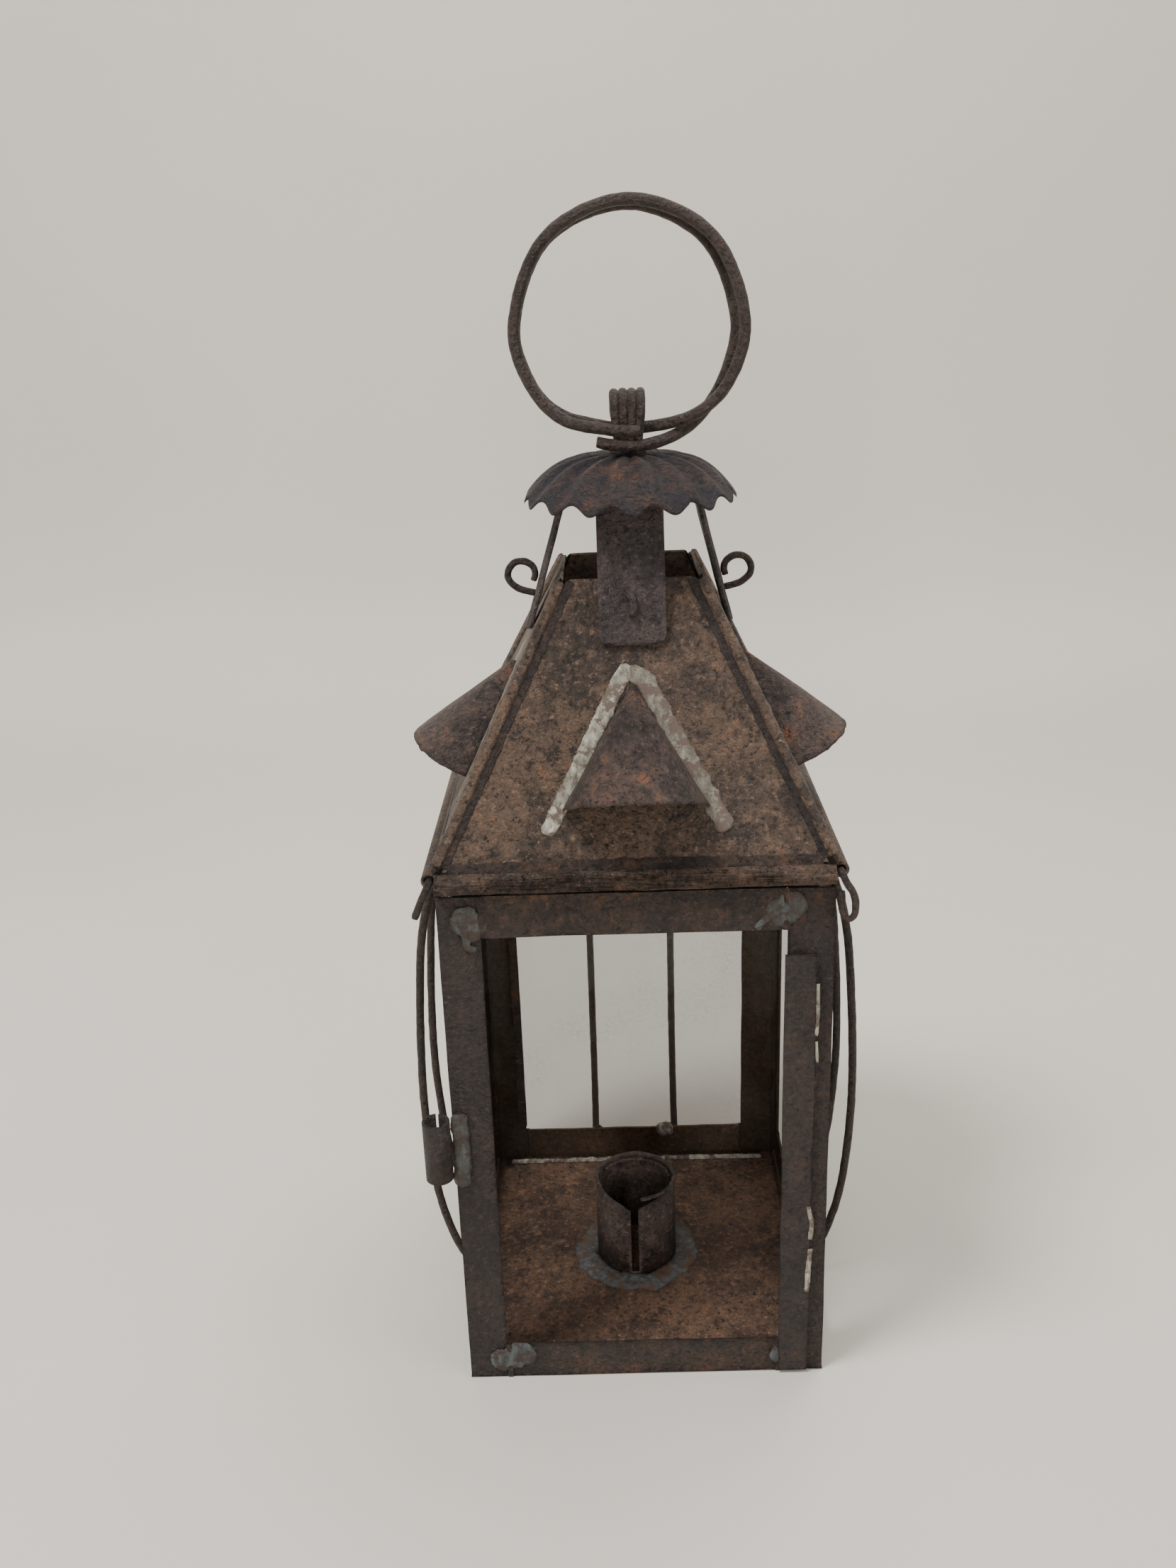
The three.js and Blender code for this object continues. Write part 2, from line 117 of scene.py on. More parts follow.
# Where the guard wires are soldered on: side, and the two wires' places across it.
WIRE_SOLDER = (("back", -13, 14), ("left", -15, 15), ("right", -15, 15))
# The rolled rims of the candle cup: radius, height from its top, first and last degree.
CUP_RIMS = ((12.9, 0.0, -84, 206), (11.7, -1.3, 5, 150))

# The first letters of a CAD node's name and its finish; the first that fits counts, and the rest is wire.
NODE_FINISH = (
    # The back rail (inner) and the back posts (back) take brighter rusts than the rails and posts in front:
    # painted light on the inside back.
    ("floor", "floor"), ("bottom_rail_back", "inner"), ("post_back", "back"), ("bottom_rail", "rail"),
    ("top_rail", "rail"), ("roof_panel", "roof"), ("hip_rib", "roof"), ("eave_bead", "roof"),
    ("hood", "hood"), ("cap_strap", "strap"), ("cap", "roof"), ("candle_cup", "cup"),
    ("cup_collar", "solder"), ("latch_lap", "solder"), ("glass_strip", "rail"), ("glass", "glass"),
    ("post", "body"), ("door", "body"), ("latch_tube", "body"),
)


def axes(u, v, w, origin=(0, 0, 0)):
    """The matrix of a frame with these three axes and this origin."""
    return Matrix.Translation(origin) @ Matrix((u, v, w)).transposed().to_4x4()


def make_camera():
    data = bpy.data.cameras.new("camera")
    data.lens = CAMERA_LENS
    data.sensor_width = 36
    camera = bpy.data.objects.new("camera", data)
    bpy.context.collection.objects.link(camera)
    yaw, pitch, roll = CAMERA_YAW, CAMERA_PITCH, CAMERA_ROLL
    ahead = Vector((math.sin(yaw) * math.cos(pitch), math.cos(yaw) * math.cos(pitch), -math.sin(pitch)))
    level = Vector((math.cos(yaw), -math.sin(yaw), 0))
    above = level.cross(ahead)
    right = math.cos(roll) * level + math.sin(roll) * above
    up = -math.sin(roll) * level + math.cos(roll) * above
    camera.matrix_world = axes(right, up, -ahead, CAMERA_AT)
    data.clip_start = 0.01
    data.clip_end = 20
    bpy.context.scene.camera = camera


# ---------------------------------------------------------------- materials

class Shader:
    """A Principled material and the few node helpers that the finishes share."""

    def __init__(self, name):
        self.material = bpy.data.materials.new(name)
        self.material.use_nodes = True
        self.tree = self.material.node_tree
        self.bsdf = self.tree.nodes["Principled BSDF"]
        self.coords = self.tree.nodes.new("ShaderNodeTexCoord").outputs["Object"]

    def noise(self, scale, detail, roughness, offset=0.0, stretch=(1, 1, 1)):
        shift = self.tree.nodes.new("ShaderNodeMapping")
        shift.inputs["Location"].default_value = (offset, offset * 0.7, offset * 1.3)
        shift.inputs["Scale"].default_value = stretch
        self.tree.links.new(self.coords, shift.inputs["Vector"])
        node = self.tree.nodes.new("ShaderNodeTexNoise")
        node.inputs["Scale"].default_value = scale
        node.inputs["Detail"].default_value = detail
        node.inputs["Roughness"].default_value = roughness
        self.tree.links.new(shift.outputs["Vector"], node.inputs["Vector"])
        return node.outputs["Fac"]

    def ramp(self, value, stops):
        node = self.tree.nodes.new("ShaderNodeValToRGB")
        while len(node.color_ramp.elements) < len(stops):
            node.color_ramp.elements.new(0.5)
        for element, (place, colour) in zip(node.color_ramp.elements, stops):
            element.position = place
            element.color = (*colour, 1)
        self.tree.links.new(value, node.inputs["Fac"])
        return node.outputs["Color"]

    def mask(self, value, low, high):
        node = self.tree.nodes.new("ShaderNodeMapRange")
        node.interpolation_type = "SMOOTHSTEP"
        node.inputs["From Min"].default_value = low
        node.inputs["From Max"].default_value = high
        self.tree.links.new(value, node.inputs["Value"])
        return node.outputs["Result"]

    def scaled(self, value, low, high):
        node = self.tree.nodes.new("ShaderNodeMapRange")
        node.inputs["From Min"].default_value = 0.3
        node.inputs["From Max"].default_value = 0.7
        node.inputs["To Min"].default_value = low
        node.inputs["To Max"].default_value = high
        self.tree.links.new(value, node.inputs["Value"])
        return node.outputs["Result"]

    def mix(self, factor, a, b):
        node = self.tree.nodes.new("ShaderNodeMix")
        node.data_type = "RGBA"
        self.tree.links.new(factor, node.inputs["Factor"])
        for slot, colour in (("A", a), ("B", b)):
            socket = [s for s in node.inputs if s.name == slot and s.type == "RGBA"][0]
            if isinstance(colour, tuple):
                socket.default_value = (*colour, 1)
            else:
                self.tree.links.new(colour, socket)
        return [s for s in node.outputs if s.type == "RGBA"][0]

    def combine(self, operation, a, b):
        node = self.tree.nodes.new("ShaderNodeMath")
        node.operation = operation
        self.tree.links.new(a, node.inputs[0])
        self.tree.links.new(b, node.inputs[1])
        return node.outputs[0]

    def multiply(self, a, b):
        return self.combine("MULTIPLY", a, b)

    def add(self, a, b):
        return self.combine("ADD", a, b)

    def bump(self, value, depth):
        node = self.tree.nodes.new("ShaderNodeBump")
        node.inputs["Distance"].default_value = depth
        node.inputs["Strength"].default_value = 1.0
        self.tree.links.new(value, node.inputs["Height"])
        self.tree.links.new(node.outputs["Normal"], self.bsdf.inputs["Normal"])

    def link(self, value, name):
        self.tree.links.new(value, self.bsdf.inputs[name])


def rust(name, dark, mid, bright, amount, seed, pits=0.0016):
    """Old rust: brown and dark clouds broken up by fine mottling, orange bloom, dark pits, scaly bump."""
    s = Shader(name)
    clouds = s.noise(42, 9, 0.68, seed)
    mottle = s.noise(210, 9, 0.75, seed + 1)
    speckle = s.noise(640, 7, 0.8, seed + 2)
    grain = s.noise(2600, 3, 0.7, seed + 3)
    base = s.mix(s.mask(clouds, 0.36, 0.62), dark, mid)
    base = s.mix(s.mask(mottle, 0.5, 0.66), base, tuple(c * 1.35 for c in mid))
    base = s.mix(s.mask(mottle, 0.47, 0.38), base, tuple(c * 0.8 for c in dark))
    patches = s.mask(mottle, 0.60 - amount * 0.14, 0.76 - amount * 0.14)
    bloom = s.multiply(patches, s.mask(clouds, 0.46, 0.60))
    colour = s.mix(bloom, base, bright)
    colour = s.mix(s.mask(speckle, 0.47, 0.38), colour, tuple(c * 0.3 for c in dark))
    # Pale flecks: partly the rust's own pale grains, partly painted glints standing in for highlights on
    # the scaly surface.
    colour = s.mix(s.mask(speckle, 0.55, 0.66), colour, tuple(min(1, c * 2.1) for c in mid))
    colour = s.mix(s.mask(grain, 0.60, 0.74), colour, tuple(min(1, c * 2.2) for c in mid))
    s.link(colour, "Base Color")
    s.link(s.scaled(mottle, 0.3, 0.68), "Roughness")
    s.bsdf.inputs["Metallic"].default_value = 0.25
    scale = s.mask(s.noise(760, 3, 0.6, seed + 4), 0.42, 0.64)
    s.bump(s.add(s.multiply(scale, s.scaled(mottle, 0.15, 0.45)), s.multiply(mottle, speckle)), pits)
    return s.material


def solder(name, dark, pale, seed, metal, worn, under):
    """Old solder: grey with pale brushed streaks, worn through in patches to the rust beneath."""
    s = Shader(name)
    clouds = s.noise(210, 8, 0.72, seed)
    brushed = s.noise(520, 7, 0.7, seed + 1, (1, 1, 0.3))
    grain = s.noise(2200, 4, 0.7, seed + 2)
    middle = tuple((a + b) / 2 for a, b in zip(dark, pale))
    colour = s.ramp(brushed, [(0.36, dark), (0.52, middle), (0.66, pale)])
    colour = s.mix(s.mask(clouds, 0.60 - worn * 0.12, 0.66 - worn * 0.12), colour, under)
    colour = s.mix(s.mask(grain, 0.60, 0.70), colour, tuple(c * 0.6 for c in dark))
    s.link(colour, "Base Color")
    s.link(s.scaled(brushed, 0.4, 0.75), "Roughness")
    s.bsdf.inputs["Metallic"].default_value = metal
    s.bump(s.add(s.multiply(clouds, brushed), grain), 0.0004)
    return s.material


def glass(name):
    """Thin window glass: mostly clear, under a dark brown film of painted shade, with dust in cloudy
    patches.
    """
    s = Shader(name)
    film = s.noise(26, 7, 0.65, 4.0)
    specks = s.noise(900, 4, 0.7, 9.0)
    cloudy = s.multiply(s.mask(film, 0.42, 0.75), s.mask(specks, 0.4, 0.7))
    dust = s.add(cloudy, s.mask(specks, 0.70, 0.8))
    # Dark brown where there is no dust: painted shade over the view through the glass. The paler colour is
    # dust.
    s.link(s.mix(dust, (0.045, 0.031, 0.021), (0.22, 0.20, 0.17)), "Base Color")
    s.link(s.scaled(film, 0.04, 0.14), "Roughness")
    # The film covers 0.3 even where there is no dust, as painted shade, and up to 0.42 in the dustiest
    # patches.
    shade_and_dust_cover = s.tree.nodes.new("ShaderNodeMapRange")
    shade_and_dust_cover.inputs["To Min"].default_value = 0.3
    shade_and_dust_cover.inputs["To Max"].default_value = 0.42
    s.tree.links.new(dust, shade_and_dust_cover.inputs["Value"])
    s.link(shade_and_dust_cover.outputs["Result"], "Alpha")
    s.bsdf.inputs["IOR"].default_value = 1.5
    return s.material


def backdrop(name):
    """Pale paper, very slightly uneven."""
    s = Shader(name)
    colour = s.ramp(s.noise(3, 4, 0.5), [(0.3, (0.56, 0.525, 0.465)), (0.7, (0.60, 0.565, 0.505))])
    s.link(colour, "Base Color")
    s.bsdf.inputs["Roughness"].default_value = 0.9
    return s.material


def make_stage(lowest):
    """A pale floor that curves up into a backdrop well behind the lantern."""
    bm = bmesh.new()
    rows = [(y, 0.0) for y in (-1.6, -0.8, -0.3, 0.25, 0.45, 0.55)]
    rows += [(0.62, 0.012), (0.68, 0.05), (0.71, 0.12), (0.72, 0.3), (0.72, 2.4)]
    grid = [[bm.verts.new((x, y, z + lowest)) for x in (-2.2, 2.2)] for y, z in rows]
    for near, far in zip(grid, grid[1:]):
        bm.faces.new((near[0], near[1], far[1], far[0]))
    mesh = bpy.data.meshes.new("floor")
    bm.to_mesh(mesh)
    floor = bpy.data.objects.new("floor", mesh)
    bpy.context.collection.objects.link(floor)
    for face in mesh.polygons:
        face.use_smooth = True
    floor.modifiers.new("soft", "SUBSURF").render_levels = 3
    mesh.materials.append(backdrop("pale_paper"))


def make_light(name, place, target, size, power):
    data = bpy.data.lights.new(name, "AREA")
    data.shape = "DISK"
    data.size = size
    data.energy = power
    light = bpy.data.objects.new(name, data)
    bpy.context.collection.objects.link(light)
    light.location = place
    light.rotation_mode = "QUATERNION"
    light.rotation_quaternion = (Vector(target) - Vector(place)).to_track_quat("-Z", "Y")


def make_lights():
    make_light("key", (-0.55, -0.35, 1.45), (0, 0, 0.15), 0.42, 23)
    make_light("fill", (1.1, -0.7, 0.9), (0, 0, 0.15), 1.1, 6)
    make_light("back", (0.3, 0.45, 1.4), (0, 0, 0.2), 0.8, 10)
    make_light("front", (-0.1, -1.3, 0.3), (0, 0, 0.06), 0.5, 7)
    world = bpy.data.worlds.new("soft")
    world.use_nodes = True
    world.node_tree.nodes["Background"].inputs["Color"].default_value = (1, 0.985, 0.96, 1)
    world.node_tree.nodes["Background"].inputs["Strength"].default_value = 0.58
    bpy.context.scene.world = world


def make_finishes():
    """Every finish by its short name. Rust takes a dark, a middle and a bright colour, solder two."""
    return {
        "body": rust("body_rust", (0.018, 0.0125, 0.011), (0.036, 0.0235, 0.019), (0.115, 0.048, 0.024),
                     amount=0.4, seed=0.0),
        "rail": rust("rail_rust", (0.020, 0.0135, 0.0115), (0.050, 0.031, 0.021), (0.15, 0.058, 0.024),
                     amount=0.6, seed=2.5),
        # Brighter rust for the back rail: painted light, standing in for light that reaches it only through
        # the glass.
        "inner": rust("back_rail_rust_with_painted_light", (0.090, 0.055, 0.036), (0.20, 0.112, 0.064), (0.34, 0.145, 0.06),
                      amount=0.8, seed=1.7, pits=0.0012),
        # Brighter rust for the back posts: painted light on the inside back of the lantern.
        "back": rust("back_post_rust_with_painted_light", (0.050, 0.032, 0.022), (0.105, 0.063, 0.040), (0.19, 0.082, 0.036),
                     amount=0.5, seed=4.3),
        # The floor's own orange rust, made brighter as painted light where the glass film holds light back.
        "floor": rust("floor_rust_with_painted_light", (0.070, 0.044, 0.033), (0.19, 0.110, 0.070), (0.31, 0.135, 0.062),
                      amount=0.5, seed=5.1, pits=0.0012),
        "roof": rust("roof_rust", (0.044, 0.032, 0.026), (0.128, 0.082, 0.055), (0.25, 0.100, 0.046),
                     amount=0.4, seed=7.7, pits=0.002),
        "hood": rust("hood_rust", (0.032, 0.024, 0.022), (0.092, 0.060, 0.047), (0.26, 0.095, 0.042),
                     amount=0.6, seed=11.2, pits=0.002),
        "strap": rust("strap_rust", (0.038, 0.030, 0.029), (0.075, 0.055, 0.050), (0.13, 0.075, 0.055),
                      amount=0.1, seed=3.3, pits=0.002),
        "wire": rust("wire_rust", (0.022, 0.015, 0.012), (0.048, 0.030, 0.023), (0.09, 0.045, 0.028),
                     amount=0.3, seed=9.4),
        "cup": rust("cup_rust", (0.042, 0.030, 0.025), (0.100, 0.068, 0.052), (0.18, 0.085, 0.045),
                    amount=0.4, seed=6.0, pits=0.001),
        "cap": rust("cap_rust", (0.013, 0.0125, 0.019), (0.035, 0.022, 0.019), (0.13, 0.046, 0.022),
                    amount=0.8, seed=14.4, pits=0.002),
        "solder": solder("grey_solder", (0.026, 0.025, 0.023), (0.092, 0.094, 0.084),
                         seed=1.0, metal=0.3, worn=1.0, under=UNDER_SOLDER),
        "blue": solder("blue_solder", (0.030, 0.032, 0.032), (0.115, 0.128, 0.126),
                       seed=6.0, metal=0.3, worn=0.9, under=UNDER_SOLDER),
        "pale": solder("pale_solder", (0.10, 0.088, 0.066), (0.46, 0.43, 0.34),
                       seed=4.0, metal=0.1, worn=0.8, under=(0.11, 0.078, 0.058)),
        "dull": solder("dull_solder", (0.070, 0.058, 0.043), (0.25, 0.23, 0.175),
                       seed=12.0, metal=0.1, worn=1.0, under=(0.10, 0.068, 0.05)),
        "smear": solder("smeared_solder", (0.045, 0.040, 0.036), (0.17, 0.18, 0.178),
                        seed=8.0, metal=0.2, worn=0.85, under=(0.12, 0.07, 0.045)),
        "glass": glass("dusty_glass_with_painted_shade"),
    }


def finish_of(name):
    for start, finish in NODE_FINISH:
        if name.startswith(start):
            return finish
    return "wire"


def divide(node, levels):
    """Cuts a node's flat faces up, so that waves and lumps have something to move."""
    cuts = node.modifiers.new("divide", "SUBSURF")
    cuts.subdivision_type = "SIMPLE"
    cuts.levels = cuts.render_levels = levels


def dress_nodes():
    """Gives each CAD node its finish, and the waviness that keeps sheet and wire from looking new."""
    waves = bpy.data.textures.new("waves", "CLOUDS")
    waves.noise_scale = 0.022
    lumps = bpy.data.textures.new("lumps", "CLOUDS")
    lumps.noise_scale = 0.0028
    for name, node in nodes.items():
        kind = finish_of(name)
        node.data.materials.clear()
        node.data.materials.append(FINISH[kind])
        if kind == "glass":
            continue
        join_skin(node)
        if kind == "wire" or name.startswith("hip_rib"):
            round_off(node)
            displace(node, lumps, WIRE_LUMPS, 0.8)
        elif name.startswith(("eave_bead_front", "eave_bead_back")):
            divide(node, 4)
            displace(node, lumps, BEAD_LUMPS, 0.8)
        elif name.startswith(("post", "bottom", "top", "door", "roof_panel", "floor", "glass_strip")):
            divide(node, 5)
            at_foot = name.startswith(("post", "bottom", "floor"))
            displace(node, waves, SHEET_WAVES, 1.0 if at_foot else 0.6)
        for face in node.data.polygons:
            face.use_smooth = kind == "wire" or name.startswith(("hip_rib", "eave", "latch_tube", "candle"))


def join_skin(node):
    """Joins the split corners of a CAD mesh so that smoothing and waves don't open its seams."""
    node.modifiers.new("join", "WELD").merge_threshold = JOIN_WITHIN


def round_off(node):
    """Smooths a wire and gives back the thickness that smoothing takes off."""
    smooth = node.modifiers.new("smooth", "SUBSURF")
    smooth.levels = smooth.render_levels = 2
    swell = node.modifiers.new("swell", "DISPLACE")
    swell.strength = WIRE_SWELL
    swell.mid_level = 0


def displace(node, texture, strength, level):
    """Pushes a surface in and out; at level 1 it only goes in, so nothing leaves the CAD box."""
    push = node.modifiers.new(texture.name, "DISPLACE")
    push.texture = texture
    push.texture_coords = "GLOBAL"
    push.strength = strength
    push.mid_level = level


def piece(name, bm, finish, body):
    """Makes one piece of the looks from a mesh, on a body and in a material slot."""
    bmesh.ops.recalc_face_normals(bm, faces=bm.faces)
    mesh = bpy.data.meshes.new(name)
    bm.to_mesh(mesh)
    bm.free()
    obj = bpy.data.objects.new(name, mesh)
    bpy.context.collection.objects.link(obj)
    mesh.materials.append(FINISH[finish])
    for face in mesh.polygons:
        face.use_smooth = True
    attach(obj, body)
    return obj


def skin(top, under, wrap=False):
    """A closed shell between two grids of points; wrap joins each row's last point to its first."""
    bm = bmesh.new()
    rows, cols = len(top), len(top[0])
    a = [[bm.verts.new(p) for p in row] for row in top]
    b = [[bm.verts.new(p) for p in row] for row in under]
    steps = range(cols if wrap else cols - 1)
    for i in range(rows - 1):
        for j in steps:
            k = (j + 1) % cols
            bm.faces.new((a[i][j], a[i][k], a[i + 1][k], a[i + 1][j]))
            bm.faces.new((b[i + 1][j], b[i + 1][k], b[i][k], b[i][j]))
    for i in (0, rows - 1):
        for j in steps:
            k = (j + 1) % cols
            bm.faces.new((a[i][j], a[i][k], b[i][k], b[i][j]))
    if not wrap:
        for j in (0, cols - 1):
            for i in range(rows - 1):
                bm.faces.new((a[i][j], a[i + 1][j], b[i + 1][j], b[i][j]))
    return bm


def rough(seed, x, y=0.0, scale=1.0):
    """Smooth noise from -1 to 1 at a place, for ragged edges and lumps."""
    return noise.noise(Vector((x * scale + seed * 7.3, y * scale + seed * 3.1, seed)))


def run_shape(place, path, width, height, seed, lift=0.0, flat=1.0):
    """A ragged low bead laid along a path in a frame's (u, v) plane, thinning out at both ends."""
    points = []
    for (x0, y0), (x1, y1) in zip(path, path[1:]):
        count = max(3, int(math.hypot(x1 - x0, y1 - y0) / RUN_STEP))
        points += [(x0 + (x1 - x0) * i / count, y0 + (y1 - y0) * i / count) for i in range(count)]
    points.append(path[-1])
    last = len(points) - 1
    top, under = [], []
    for i, (x, y) in enumerate(points):
        before, after = points[max(0, i - 2)], points[min(last, i + 2)]
        along = Vector((after[0] - before[0], after[1] - before[1])).normalized()
        across = Vector((-along.y, along.x))
        end = min(1.0, (min(i, last - i) + 0.6) * RUN_STEP / (width * 0.5))
        swell = math.sqrt(1 - (1 - end) ** 2)
        half = width / 2 * swell
        row_top, row_under = [], []
        for j in range(RUN_POINTS):
            t = 2 * j / (RUN_POINTS - 1) - 1
            edge = seed + (t > 0)
            ragged = 1 + 0.28 * rough(edge, i * 0.22) + 0.14 * rough(edge, i * 0.8)
            spot = Vector((x, y)) + across * (t * half * ragged)
            crown = max(0.0, 1 - abs(t) ** (2 + flat)) * swell
            lump = 1 + 0.45 * rough(seed + 5, spot.x, spot.y, 420)
            lump += 0.25 * rough(seed + 6, spot.x, spot.y, 1300)
            row_top.append(place @ Vector((spot.x, spot.y, lift + height * crown * lump + 0.02 * MM)))
            row_under.append(place @ Vector((spot.x, spot.y, lift - 0.15 * MM)))
        top.append(row_top)
        under.append(row_under)
    return skin(top, under)


def outer_face(name, side):
    """Of a sloping CAD sheet's outer face: u along it, v up it, w off it, and one of its corners."""
    mesh = nodes[name].data
    faces = [f for f in mesh.polygons if f.normal.dot(OUTWARD[side]) > 0.5]
    face = max(faces, key=lambda f: f.area)
    w = face.normal.copy()
    u = Vector((0, 0, 1)).cross(w).normalized()
    v = w.cross(u)
    return u, v, w, mesh.vertices[face.vertices[0]].co.copy()


def roof_frame(side):
    """u along the eave, v up the slope and w off a roof side, with its origin at the bead's height."""
    u, v, w, origin = outer_face("roof_panel_" + side, side)
    eave_z = sum(c.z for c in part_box("eave_bead_left")) / 2
    origin += v * ((eave_z - origin.z) / v.z)
    origin -= u * origin.dot(u)
    return axes(u, v, w, origin)


def make_hood(side, seed):
    """A half cone of thin sheet with a torn, slightly turned-up lip."""
    at = roof_frame(side)
    top, under = [], []
    for i in range(49):
        angle = math.pi * i / 48
        torn = -1.1 + 0.8 * rough(seed, i * 0.31) + 0.5 * rough(seed + 2, i * 1.1)
        lip = torn * MM * math.sin(angle)
        row_top, row_under = [], []
        for j in range(27):
            t = j / 26
            v = HOOD_FOOT + lip * (1 - t) ** 6 + HOOD_LENGTH * t
            r = HOOD_RADIUS + (1.3 * MM - HOOD_RADIUS) * t
            r += 0.35 * MM * rough(seed + 3, i * 0.16, j * 0.2) * (1 - t)
            inner = r - HOOD_SHEET if t < 0.97 else r * 0.4
            for row, radius in ((row_top, r), (row_under, inner)):
                u = HOOD_SHIFT[side] + HOOD_SPREAD * radius * math.cos(angle)
                row.append(at @ Vector((u, v, radius * math.sin(angle) + 0.1 * MM)))
        top.append(row_top)
        under.append(row_under)
    hood = piece("hood_sheet_" + side, skin(top, under), "hood", "roof")
    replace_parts(hood, "hood_" + side)


def make_hood_seam(side, seed):
    """The band of solder that runs up one side of the hood, over its point and down the other."""
    for i, (finish, path, width) in enumerate(HOOD_BANDS):
        points = [(HOOD_SHIFT[side] + x * MM, y * MM) for x, y in path]
        bm = run_shape(roof_frame(side), points, width * MM, 0.2 * MM, seed + 20 * i, 0, 2.0)
        piece("hood_solder_%s_%d" % (side, i), bm, finish, "roof")


def make_strap(side):
    """A strap with two shallow pressed ribs near its edges."""
    lo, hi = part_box("cap_strap_" + side)
    u, v, w, origin = outer_face("cap_strap_" + side, side)
    origin += v * ((lo.z - origin.z) / v.z)
    origin += u * ((lo + hi) / 2 - origin).dot(u)
    length = (hi.z - lo.z) / v.z
    top, under = [], []
    for i in range(41):
        t = i / 40
        corner = min(1.0, t * length / STRAP_CORNER_RISE)
        reach = STRAP_HALF - STRAP_CORNER * (1 - math.sqrt(1 - (1 - corner) ** 2))
        row_top, row_under = [], []
        for j in range(33):
            x = (j / 16 - 1) * reach
            rib = 0.8 * MM * math.exp(-((abs(x) - STRAP_RIB_AT) / (0.8 * MM)) ** 2)
            dent = 0.18 * MM * rough(3.0, x, t * length, 120)
            spot = origin + u * x + v * (t * length) + w * (rib + dent - 0.3 * MM)
            row_top.append(spot)
            row_under.append(spot - w * STRAP_SHEET)
        top.append(row_top)
        under.append(row_under)
    strap = piece("strap_sheet_" + side, skin(top, under), "strap", "roof")
    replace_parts(strap, "cap_strap_" + side)
    if side == "front":
        make_strap_nub(axes(u, v, w, origin))


def make_strap_nub(at):
    """The bent stub of wire on the front strap."""
    path = [(x * MM, y * MM) for x, y in STRAP_NUB]
    nub = piece("strap_nub", run_shape(at, path, 2.4 * MM, 2.1 * MM, 19), "strap", "roof")
    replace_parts(nub, "strap_wire_stub")


def make_cap():
    """The fluted cap: a scalloped dome with small chips torn out of its rim."""
    lo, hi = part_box("cap")
    centre = (lo + hi) / 2
    reach = (hi.x - lo.x) / 2 - 0.9 * MM
    rows, cols = 26, 320
    top, under = [], []
    for i in range(rows):
        t = (i + 0.02) / (rows - 1 + 0.02)
        row_top, row_under = [], []
        for j in range(cols):
            angle = 2 * math.pi * j / cols
            wave = math.cos(FLUTES * angle + 0.25 * rough(8, angle * 2))
            uneven = 0.012 * rough(2, math.cos(angle) * 9, math.sin(angle) * 9)
            edge = 1 + (0.018 * wave + uneven) * t ** 3
            for place, depth in CAP_CHIPS:
                apart = angle - math.radians(place)
                near = math.atan2(math.sin(apart), math.cos(apart)) / 0.045
                edge -= 0.035 * depth * math.exp(-near ** 4) * t ** 8
            r = reach * t * edge
            fold = -wave * FLUTE_DEPTH * t ** 1.1
            dent = 0.35 * MM * rough(5, r * math.cos(angle), r * math.sin(angle), 90) * t
            z = hi.z - CAP_DROP * t ** 3.4 + fold + dent - CAP_LOWERED
            spot = Vector((centre.x + r * math.cos(angle), centre.y + r * math.sin(angle), z))
            row_top.append(spot)
            row_under.append(spot - Vector((0, 0, CAP_SHEET)))
        top.append(row_top)
        under.append(row_under)
    cap = piece("cap_sheet", skin(top, under, True), "cap", "roof")
    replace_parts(cap, "cap")


def make_eye_solder():
    """The solder under the feet of the ring's eye, on the crown of the cap."""
    lo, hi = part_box("ring_eye")
    path = [(lo.x - 0.6 * MM, 0.0), (hi.x + 0.6 * MM, 0.0)]
    crown = Matrix.Translation((0, 0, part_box("cap")[1].z - 0.6 * MM))
    piece("eye_solder", run_shape(crown, path, 5.0 * MM, 1.0 * MM, 63), "cap", "roof")


def face_frame(side):
    """u along a body face, v up and w outward, with its origin at the middle of the face's foot."""
    w = OUTWARD[side]
    v = Vector((0, 0, 1))
    u = v.cross(w)
    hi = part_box("post_back_right")[1]
    origin = Vector((hi.x * w.x, hi.y * w.y, 0))
    return axes(u, v, w, origin)


def body_run(name, side, path, width, height, finish, seed, lift=0.0):
    """A run on one face of the body, with every measure in millimetres."""
    points = [(x * MM, z * MM) for x, z in path]
    bm = run_shape(face_frame(side), points, width * MM, height * MM, seed, lift * MM)
    piece(name, bm, finish, "body")


def make_body_solder():
    """Solder on the front's corners, pale streaks down its edge, and lumps at the guard wires' ends."""
    for name, path, width, height, finish, seed in FRONT_SOLDER:
        body_run("solder_" + name, "front", path, width, height, finish, seed)
    for i, (path, width) in enumerate(LAP_SOLDER):
        body_run("solder_lap_%d" % i, "front", path, width, 0.5, "pale", 11 + i, 1.0)
    for side, low, high in WIRE_SOLDER:
        for tag, x in (("a", low), ("b", high)):
            name = "solder_wire_%s_%s_" % (side, tag)
            foot = [(x - 2.4, 9.5), (x + 2.4, 10.3)]
            head = [(x - 2.2, 158), (x + 2.2, 158.3)]
            body_run(name + "foot", side, foot, 8, 2.6, "blue", 21 + x)
            body_run(name + "head", side, head, 5, 1.4, "solder", 31 + x)


def make_corner_seams():
    """The rusted seams where each rail meets the posts beside it."""
    for side in SIDES:
        inverse = face_frame(side).inverted()
        for kind, start, end in (("bottom", 0.1, 12.4), ("top", 150.2, 162.5)):
            reach = [(inverse @ corner).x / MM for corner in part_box("%s_rail_%s" % (kind, side))]
            for tag, x in (("a", min(reach)), ("b", max(reach))):
                name = "seam_%s_%s_%s" % (kind, side, tag)
                body_run(name, side, [(x, start), (x, end)], 1.9, 0.2, "rail", 120 + x)


